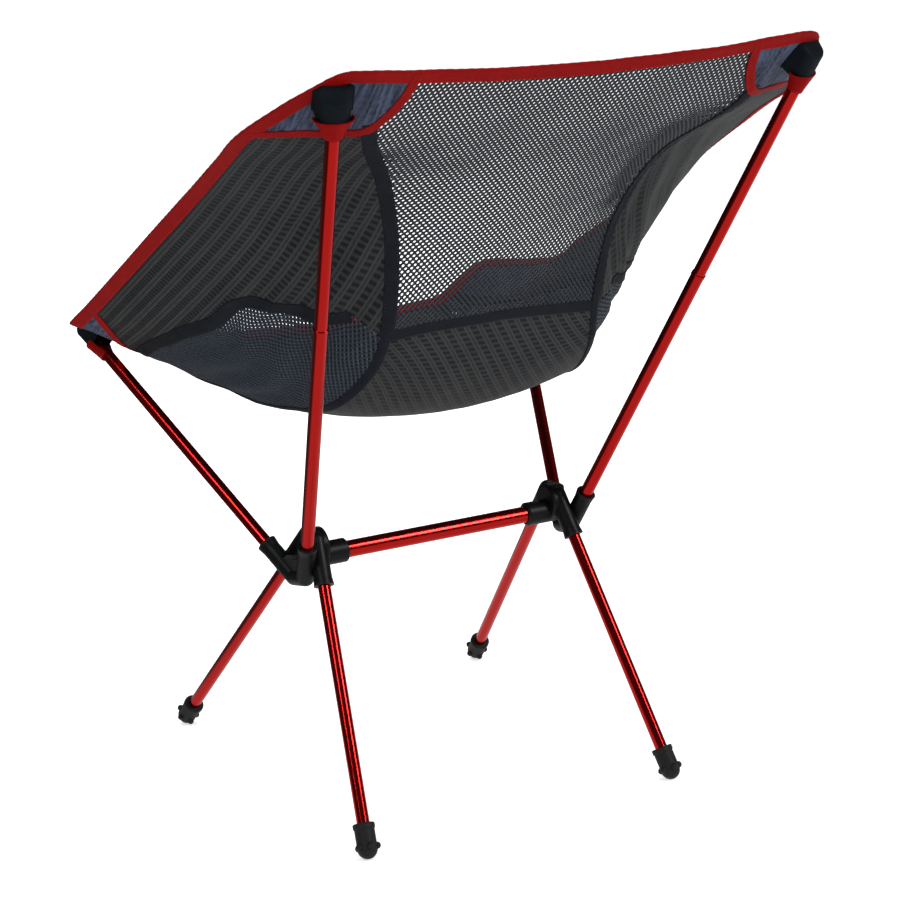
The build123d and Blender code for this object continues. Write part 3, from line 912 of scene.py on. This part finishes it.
def back_net():
    """The net of the back, whole, from both halves."""
    flat = np.vstack([half.middle_flat for half in halves.values()])
    quads = whole_quads(lambda half: half.cells((0, BACK_ROWS), (0, SEAM_COLUMN)))
    wide = whole_quads(lambda half: half.cells((0, BACK_ROWS + 2), (0, SEAM_COLUMN + 2)))
    zones = ("rear", "corner")
    cloth, faces = net_over(WHOLE_POINTS, WHOLE_NORMALS, flat, quads, wide, BACK_HOLE)
    made = cloth_pieces("back_net", cloth, faces, NET, BACK_NET, zones, ["back_mesh_panel"])
    declare_sheets(made, WHOLE_POINTS, quads, zones)


def side_nets():
    """The net inserts low in the sides."""
    zones = ("front",)
    for side_name, half in halves.items():
        quads = half.cells((BACK_ROWS, LAST_ROW), (SEAM_COLUMN, INSERT_COLUMN))
        quads = quads[~patch_masks(half, quads)["front"]]
        wide = half.cells((BACK_ROWS - 2, LAST_ROW), (SEAM_COLUMN - 2, INSERT_COLUMN + 2))
        cloth, faces = net_over(half.points, half.normals, half.side_flat, quads, wide, SIDE_HOLE)
        replaced = [f"side_mesh_{side_name}"]
        made = cloth_pieces("side_net", cloth, faces, NET, SIDE_NET, zones, replaced)
        declare_sheets(made, half.points, quads, zones)


# ---------------------------------------------------------------- tapes, bindings and stitches
STITCH_PITCH = 0.0030
STITCH_LENGTH = 0.0019
STITCH_RADIUS = 0.00026
STITCH_FLAT = 0.55
STITCH_SINK = 0.0001
STITCH_RISE = 0.00008
TAPE_ACROSS = np.linspace(-1, 1, 7)
TAPE_ROWS = (-0.78, 0.78)
TAPE_WAVES = 0.0061
BINDING_DEPTHS = np.array([1.0, 0.8, 0.55, 0.3, 0.1]) * BINDING_WIDTH
BINDING_HALF = 0.00135
BINDING_WAVES = 0.0085
NOSE = [math.radians(d) for d in (60, 30, 0, -30, -60)]
NOSE_WIDTH = 0.003


def add_tube(shape, rings, directions, across, along):
    """Adds a closed tube of rings of points, with a smooth normal at each point and its flat coordinates."""
    count, size = rings.shape[:2]
    points = rings.reshape(-1, 3)
    normals = unit(directions.reshape(-1, 3))
    flat = np.stack(np.broadcast_arrays(across[None], along[:, None]), axis=2)
    faces = []
    for r in range(0, (count - 1) * size, size):
        for k in range(size):
            n = (k + 1) % size
            faces.append([r + k, r + n, r + size + n, r + size + k])
    ends = [list(range(size))[::-1], list(range((count - 1) * size, count * size))]
    middle = np.array([faces[len(faces) // 2]])
    if flipped(points, normals, middle):
        faces = [f[::-1] for f in faces]
        ends = [f[::-1] for f in ends]
    shape.add(points, flat.reshape(-1, 2), faces + ends, 0, [normals[f] for f in faces] + [None, None])


def add_stitches(shape, centre, normal, pitch=STITCH_PITCH, size=1.0):
    """A row of stitches along a line of points, each a short pinched bead that dips at its ends."""
    lengths = distances(centre)
    middles = np.arange(pitch, lengths[-1] - pitch / 2, pitch)
    up = unit(read_at(middles, lengths, normal))
    half = STITCH_LENGTH * size / 2
    ends = [read_at(middles + sign * half, lengths, centre) - up * STITCH_SINK for sign in (-1, 1)]
    inside = half * STITCH_FLAT
    shoulders = [read_at(middles + sign * inside, lengths, centre) + up * STITCH_RISE for sign in (-1, 1)]
    beside = np.cross(up, unit(ends[1] - ends[0]))
    radius = STITCH_RADIUS * size
    rows = [ends[0]]
    for shoulder in shoulders:
        rows += [shoulder + way * radius for way in (beside, up, -beside, -up)]
    rows.append(ends[1])
    points = np.stack(rows, axis=1).reshape(-1, 3)
    faces = []
    for start in range(0, len(points), len(rows)):
        for k in range(1, 5):
            n = k % 4 + 1
            for face in ([0, k, n], [k, k + 4, n + 4, n], [9, n + 4, k + 4]):
                faces.append([v + start for v in face])
    shape.add(points, points[:, [0, 2]], faces, 1)


def add_tape(shape, path, half_width, faces=(1, -1), lift=0.0004, pucker=0.00012):
    """A flat tape along a path, on the cloth's outer (1) or inner (-1) face, with two rows of stitches."""
    centre, normal = lay(path)
    beside = unit(np.cross(normal, unit(np.gradient(centre, axis=0))))
    lengths = distances(centre)
    laid = [lay(centre + beside * a * half_width) for a in TAPE_ACROSS]
    places = np.stack([p for p, _ in laid], axis=1)
    normals = np.stack([n for _, n in laid], axis=1)
    rim = np.abs(TAPE_ACROSS) ** 8
    for face in faces:
        wave = pucker * (1 + np.sin(lengths * TURN / TAPE_WAVES + face))[:, None] * np.abs(TAPE_ACROSS) ** 2
        height = lift + TAPE * (1 - 0.5 * rim)[None] + wave
        top = places + normals * (face * height)[:, :, None]
        bottom = places + normals * face * lift * 0.5
        ring = np.concatenate([top, bottom[:, ::-1]], axis=1)
        up = normals * face + beside[:, None] * (np.sign(TAPE_ACROSS) * rim * 0.8)[None, :, None]
        directions = np.concatenate([up, -normals[:, ::-1] * face], axis=1)
        across = np.concatenate([TAPE_ACROSS, TAPE_ACROSS[::-1]]) * half_width
        add_tube(shape, ring, directions, across, lengths)
        for row in TAPE_ROWS:
            place = np.interp(row, TAPE_ACROSS, np.arange(len(TAPE_ACROSS)))
            low = int(place)
            share = place - low
            line = top[:, low] * (1 - share) + top[:, low + 1] * share
            add_stitches(shape, line, normals[:, low] * face)


def add_binding(shape, path, inward_to):
    """A tape folded over the cloth's outer edge, along a path on the edge."""
    centre, normal = lay(path)
    inward = unit(np.cross(normal, unit(np.gradient(path, axis=0))))
    if ((inward_to - centre) * inward).sum() < 0:
        inward = -inward
    lengths = distances(path)
    laid = [lay(centre + inward * d) for d in BINDING_DEPTHS]
    thickness = BINDING_HALF * (1 + 0.10 * np.sin(lengths * TURN / BINDING_WAVES))[:, None]
    outer, outer_out = [], []
    inner, inner_out = [], []
    for k, (place, out) in enumerate(laid):
        rise, lean = (0.72, 0.7) if k == 0 else (1.0, 0)
        outer.append(place + out * thickness * rise)
        inner.append(place - out * thickness * rise)
        outer_out.append(out + inward * lean)
        inner_out.append(-out + inward * lean)
    nose = [centre + normal * thickness * math.sin(a) - inward * thickness * math.cos(a) * 0.9 for a in NOSE]
    nose_out = [normal * math.sin(a) - inward * math.cos(a) for a in NOSE]
    ring = np.stack(outer + nose + inner[::-1], axis=1)
    directions = np.stack(outer_out + nose_out + inner_out[::-1], axis=1)
    round_nose = np.linspace(0, NOSE_WIDTH, len(NOSE))
    across = np.concatenate([-BINDING_DEPTHS, round_nose, BINDING_DEPTHS[::-1] + NOSE_WIDTH])
    add_tube(shape, ring, directions, across, lengths)
    add_stitches(shape, outer[0] * 0.5 + outer[1] * 0.5, laid[0][1])
    add_stitches(shape, inner[0] * 0.5 + inner[1] * 0.5, -laid[0][1])


def trimmed(path, start, end):
    """A path without its first and last stretch, resampled."""
    path = resampled(path, MM)
    return resampled(path[round(start / MM) : len(path) - round(end / MM)], PATH_STEP)


def tapes(name, looks, zones, replaced, path_of, half_width, **how):
    """A tape along one path on each half."""
    shape = Shape()
    for half in halves.values():
        add_tape(shape, path_of(half), half_width, **how)
    deliver(name, shape, *looks, zones, replaced)


def outline_paths(half):
    """The outline of a half from the top centre to the front centre, cut in three at the corners."""
    grid = half.grid()
    top, side, front = grid[0], grid[:, EDGE_COLUMN], grid[LAST_ROW, ::-1]
    whole = resampled(np.vstack([top, side[1:], front[1:]]), PATH_STEP)
    first, last = (np.argmin(np.linalg.norm(whole - corner, axis=1)) for corner in (side[0], side[-1]))
    for _ in range(2):
        whole[1:-1] = (whole[:-2] + 2 * whole[1:-1] + whole[2:]) / 4
    return whole[: first + 1], whole[first : last + 1], whole[last:]


def bindings():
    """The red binding along the top, the sides and the front."""
    shapes = {"top": Shape(), "side": Shape(), "front": Shape()}
    for half in halves.values():
        middle = half.grid()[LAST_ROW // 2, SEAM_COLUMN]
        for shape, path in zip(shapes.values(), outline_paths(half)):
            add_binding(shape, path, middle)
    sides = ["side_binding_left", "side_binding_right"]
    deliver("top_binding", shapes["top"], *RED_LOOKS, ("rear", "corner"), ["top_binding"])
    deliver("side_binding", shapes["side"], *RED_LOOKS, ("front", "rear", "corner"), sides)
    deliver("front_binding", shapes["front"], *RED_LOOKS, ("front",), ["front_binding"])


# ---------------------------------------------------------------- pockets on the pole tips
POLE_RADIUS = 0.0055
POCKET_CLOTH = 0.0014
POCKET_HEM = 0.0008
POCKET_INSIDE = 0.0006
POCKET_ROOM = 0.0004
POCKET_LEAST = 0.002
POCKET_TAPER = 0.0035
POCKET_PLUG = 0.0055
COLLAR_CLOTH = 0.0011
# The collar's half width and rise: at its lower end, and how much more at its mouth.
COLLAR_SIDES = (0.0071, 0.0085)
COLLAR_RISES = (0.0070, 0.0012)
COLLAR_POINTS = 25
COLLAR_LAP = 0.004
COLLAR_STATIONS = 12
POCKET_STITCHES = 0.0024

# For each pocket: pole, body, reach past the tip and below it, half width, and the collar's length.
POCKETS = {
    "back": ("back_pole_upper", "seat_pole_top", 0.0095, 0.0175, 0.0150, 0.0120),
    "front": ("front_pole", "seat_pole_front", 0.0095, 0.0170, 0.0150, 0.0120),
}


def pole_tip(node, joint_name):
    """The tip of a pole and the direction towards it, from its box and its joint's axis."""
    joint = next(j for j in frame["joints"] if j["name"] == joint_name)
    axis = unit(np.array(joint["axis"], float))
    axis = axis * np.sign(axis[2])
    low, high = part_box(node)
    rise = (high.z - low.z) - 2 * POLE_RADIUS * math.sqrt(1 - axis[2] ** 2)
    return np.array((low + high) / 2) + axis * rise / axis[2] / 2, axis


def add_cover(shape, tip, axis, stations, widths, tops):
    """Webbing laid over a pole on the cloth, with a half width and a height at each station along it."""
    across = np.linspace(-1, 1, 25)
    centre = tip + axis * stations[:, None]
    base, normal = lay(centre)
    beside = unit(np.cross(normal, np.broadcast_to(axis, normal.shape)))
    depth = ((centre - base) * normal).sum(axis=1)
    outer, inner, ups = [], [], []
    for k, width in enumerate(widths):
        x = across * width
        place, n = lay(base[k] + beside[k] * x[:, None])
        arch = np.clip(1 - np.abs(x / (width * 0.90)) ** 2.6, 0, 1) ** 0.45
        rise = max(depth[k] + POLE_RADIUS + POCKET_CLOTH + POCKET_ROOM, POCKET_LEAST) * tops[k]
        height = POCKET_HEM + POCKET_CLOTH + (rise - POCKET_HEM - POCKET_CLOTH) * arch
        n = unit(n + normal[k] * 2)
        outer.append(place + n * height[:, None])
        inner.append(place + n * np.maximum(height - POCKET_CLOTH, POCKET_INSIDE)[:, None])
        ups.append(n)
    outer = np.array(outer)
    rows, columns = outer.shape[:2]
    grid = np.arange(rows * columns).reshape(rows, columns)
    quads = np.stack([grid[:-1, :-1], grid[:-1, 1:], grid[1:, 1:], grid[1:, :-1]], axis=2).reshape(-1, 4)
    points = outer.reshape(-1, 3)
    smooth = unit(np.cross(np.gradient(outer, axis=1), np.gradient(outer, axis=0))).reshape(-1, 3)
    if (smooth * np.array(ups).reshape(-1, 3)).sum() < 0:
        smooth = -smooth
    if flipped(points, smooth, quads):
        quads = quads[:, ::-1]
    back = quads[:, ::-1]
    walls = rim_walls(quads, len(points))
    flat = np.column_stack([np.tile(across * 0.015, rows), np.repeat(stations, columns)])
    corner = [*smooth[quads], *-smooth[back], *[None] * len(walls)]
    faces = np.vstack([quads, back + len(points), walls])
    shape.add(np.vstack([points, *inner]), np.vstack([flat, flat]), faces, 0, corner)
    for column in (1, columns - 2):
        add_stitches(shape, outer[:, column], smooth.reshape(outer.shape)[:, column], POCKET_STITCHES)


def add_collar(shape, tip, axis, outward, stations, sides, rises):
    """A band of webbing round the outer half of a pole: a half width and a rise at each station along it."""
    turns = np.radians(np.linspace(-112, 112, COLLAR_POINTS))
    outward = unit(outward - (outward @ axis) * axis)
    beside = np.cross(axis, outward)
    to_side = beside * np.sin(turns)[:, None]
    to_front = outward * np.cos(turns)[:, None]
    low = np.clip(np.abs(np.degrees(turns)) - 90, 0, 30)[:, None] / 22
    rings, ups = [], []
    for station, side, rise in zip(stations, sides, rises):
        flare = np.sign(turns)[:, None] * beside * low * (side - 0.0065) * 0.02
        centre = tip + axis * station
        arc = to_side * side + to_front * rise
        thin = to_side * (side - COLLAR_CLOTH) + to_front * (rise - COLLAR_CLOTH)
        up = unit(arc)
        rings.append(np.vstack([centre + arc + flare, (centre + thin + flare)[::-1]]))
        ups.append(np.vstack([up, -up[::-1]]))
    across = np.concatenate([turns, turns[::-1]]) * 0.008
    add_tube(shape, np.array(rings), np.array(ups), across, stations)
    add_stitches(shape, rings[1][:COLLAR_POINTS], ups[1][:COLLAR_POINTS], POCKET_STITCHES, 0.8)


def add_pocket(where, side_name):
    """The black webbing pocket over a pole tip, and the red collar at its mouth."""
    node, body, past_tip, below, half_width, collar = POCKETS[where]
    tip, axis = pole_tip(f"{node}_{side_name}", f"{body}_{side_name}_pull")
    _, outward = lay([tip])
    stations = np.linspace(-below, past_tip, 22)
    past = np.clip((stations - POCKET_PLUG) / (past_tip - POCKET_PLUG), 0, 1)
    tops = 0.93 * np.sqrt(np.clip(1 - past**2, 0.0, 1)) + 0.07
    pocket, tab = Shape(), Shape()
    add_cover(pocket, tip, axis, stations, half_width - POCKET_TAPER * past**2, tops)
    stations = np.linspace(-below - collar, -below + COLLAR_LAP, COLLAR_STATIONS)
    share = np.linspace(0, 1, COLLAR_STATIONS)
    sides = COLLAR_SIDES[0] + COLLAR_SIDES[1] * share**1.2
    rises = COLLAR_RISES[0] + COLLAR_RISES[1] * share
    add_collar(tab, tip, axis, outward[0], stations, sides, rises)
    for name, shape, looks, node in (
        ("pocket", pocket, ([BLACK_WEBBING, DARK_THREAD], "pocket_webbing"), "tip_pocket"),
        ("red_tab", tab, ([RED_TAPE, RED_THREAD], "red_tab"), "pocket_tab"),
    ):
        piece = make_object(f"{name}_{where}_{side_name}", shape, range(len(shape.faces)), looks[0])
        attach(piece, f"{body}_{side_name}")
        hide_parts(f"{node}_{where}_{side_name}")


# ---------------------------------------------------------------- making it all
BACK = (0, BACK_ROWS)
SEAT = (BACK_ROWS, LAST_ROW)
ALL_ZONES = ("front", "rear", "corner")
RED_LOOKS = ([RED_TAPE, RED_THREAD], "red_binding")
SEAM_LOOKS = ([SEAM_TAPE, GREY_THREAD], "seam_tape")
PATCH_DEPTH = 0.058
REAR_TAPE = 0.0058
NET_TAPE = 0.0065
SEAT_SIDE_TAPE = 0.0045
SEAT_SEAM_TAPE = 0.0048
FRONT_TRIM = 0.006
BORDER_TRIM = 0.004


def both_sides(name):
    """The names of a left and a right node."""
    return [f"{name}_{side_name}" for side_name in SIDES]


back_net()
side_nets()
grid_panel("seat_panel", SEAT_RIPSTOP, [(SEAT, (0, SEAM_COLUMN))], ("front",), ["seat_panel"])
side_blocks = [(BACK, (SEAM_COLUMN, EDGE_COLUMN)), (SEAT, (INSERT_COLUMN, EDGE_COLUMN))]
grid_panel("side_panel", RIPSTOP, side_blocks, ALL_ZONES, both_sides("side_panel"))
everything = [((0, LAST_ROW), (0, EDGE_COLUMN))]
for where, zone in (("back", "corner"), ("front", "front")):
    grid_panel(f"corner_cloth_{where}", PATCH, everything, (zone,),
               both_sides(f"corner_patch_{where}"), PATCH_CLOTH, where)

tapes("rear_seam_tape", SEAM_LOOKS, ("rear", "corner"), both_sides("rear_seam_tape"),
      lambda half: trimmed(half.grid()[: BACK_ROWS + 1, SEAM_COLUMN], PATCH_DEPTH, 0),
      REAR_TAPE, pucker=0.00040)
for name, replaced, column, half_width in (
    ("net_tape", both_sides("side_mesh_tape"), INSERT_COLUMN, NET_TAPE),
    ("seat_side_tape", [], SEAM_COLUMN, SEAT_SIDE_TAPE),
):
    tapes(name, SEAM_LOOKS, ("front",), replaced,
          lambda half: trimmed(half.grid()[BACK_ROWS:, column], 0, FRONT_TRIM), half_width)

seam_right, seam_left = (halves[name].grid()[BACK_ROWS, : SEAM_COLUMN + 1] for name in ("right", "left"))
ribbon = Shape()
add_tape(ribbon, resampled(np.vstack([seam_right[::-1], seam_left[1:]]), PATH_STEP), SEAT_SEAM_TAPE)
piece = make_object("seat_seam_ribbon", ribbon, range(len(ribbon.faces)), SEAM_LOOKS[0])
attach(piece, "root")
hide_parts("seat_seam_tape")

for where, zone, faces in (("back", "corner", (1, -1)), ("front", "front", (1,))):
    tapes(f"corner_border_{where}", RED_LOOKS, (zone,), [],
          lambda half: trimmed(mirror(BORDERS[where][0], half.side), BORDER_TRIM, BORDER_TRIM),
          BORDER_WIDTH / 2, lift=0.0008, faces=faces)
bindings()
for where in POCKETS:
    for side_name in SIDES:
        add_pocket(where, side_name)

# ---------------------------------------------------------------- materials of the CAD parts
LOOKS = {
    "crossbar": RED_POLE, "hub": HUB, "leg_tube": RED_POLE, "foot_cup": RUBBER, "front_pole": RED_POLE,
    "back_pole_lower": RED_POLE, "back_pole_upper": RED_POLE, "back_pole_ferrule": FERRULE,
    "tip_plug": HUB, "shock_cord": DARK_THREAD,
}
for name, node in frame["nodes"].items():
    for start, material in LOOKS.items():
        if name.startswith(start):
            node.data.materials.clear()
            node.data.materials.append(material)

# ---------------------------------------------------------------- floor, light and camera
AZIMUTH = math.radians(28.2453)
ELEVATION = math.radians(15.0398)
ROLL = -0.0362
CAMERA_PLACE = Vector((0.908, 1.7183, 0.816))
LENS_MM = 92.26
SENSOR_MM = 36
FLOOR_HALF = 60.0
AIM = Vector((0, 0, 0.35))
SKY_LOW = 0.12
SKY_HIGH = 0.75
SKY_REFLECTED = 0.07


def add_object(name, data):
    """An object with that data, in the scene."""
    made = bpy.data.objects.new(name, data)
    bpy.context.scene.collection.objects.link(made)
    return made


def add_floor():
    """A very large pale floor."""
    mesh = bpy.data.meshes.new("floor")
    corners = [(x * FLOOR_HALF, y * FLOOR_HALF, 0) for x, y in ((-1, -1), (1, -1), (1, 1), (-1, 1))]
    mesh.from_pydata(corners, [], [(0, 1, 2, 3)])
    mesh.materials.append(studio_floor())
    add_object("floor", mesh)


def add_light(name, place, size, power):
    """A soft rectangular light that looks at the chair."""
    light = bpy.data.lights.new(name, "AREA")
    light.shape = "RECTANGLE"
    light.size, light.size_y = size
    light.energy = power
    lamp = add_object(name, light)
    lamp.location = place
    lamp.rotation_mode = "QUATERNION"
    lamp.rotation_quaternion = (AIM - Vector(place)).to_track_quat("-Z", "Y")


def add_world():
    """An even pale surround for the camera, a shaded one for light, and a dark one for reflections."""
    world = bpy.data.worlds.new("studio")
    world.use_nodes = True
    bpy.context.scene.world = world
    nodes = Nodes(world.node_tree)
    sky = nodes.node("ShaderNodeTexCoord").outputs["Generated"]
    height = nodes.node("ShaderNodeSeparateXYZ", Vector=sky).outputs[2]
    path = nodes.node("ShaderNodeLightPath").outputs
    reached = nodes.ranged(height, -0.2, 1.0, SKY_LOW, SKY_HIGH)
    for ray, strength in (("Is Glossy Ray", SKY_REFLECTED), ("Is Camera Ray", 1.0)):
        choose = nodes.node("ShaderNodeMix")
        for socket, value in zip((choose.inputs[0], *choose.inputs[2:4]), (path[ray], reached, strength)):
            nodes.put(socket, value)
        reached = choose.outputs[0]
    background = world.node_tree.nodes["Background"]
    nodes.put(background.inputs["Strength"], reached)
    nodes.put(background.inputs["Color"], (1, 1, 1, 1))


def add_camera():
    """The camera, at the height and distance of a person standing behind the chair's left."""
    flat = math.cos(ELEVATION)
    back = Vector((math.sin(AZIMUTH) * flat, math.cos(AZIMUTH) * flat, math.sin(ELEVATION)))
    level = (-back).cross(Vector((0, 0, 1))).normalized()
    upright = level.cross(-back)
    right = level * math.cos(ROLL) + upright * math.sin(ROLL)
    up = -level * math.sin(ROLL) + upright * math.cos(ROLL)
    data = bpy.data.cameras.new("camera")
    data.lens = LENS_MM
    data.sensor_width = SENSOR_MM
    data.clip_end = 300
    camera = add_object("camera", data)
    camera.matrix_world = Matrix.Translation(CAMERA_PLACE) @ Matrix((right, up, back)).transposed().to_4x4()
    bpy.context.scene.camera = camera
    bpy.context.scene.view_settings.view_transform = "Standard"


add_floor()
add_world()
add_light("key", (-1.6, 2.3, 2.4), (0.35, 1.4), 50)
add_light("fill", (2.6, 1.2, 2.6), (0.35, 1.6), 24)
add_light("front", (-0.8, -2.4, 2.2), (1.6, 1.0), 40)
add_camera()
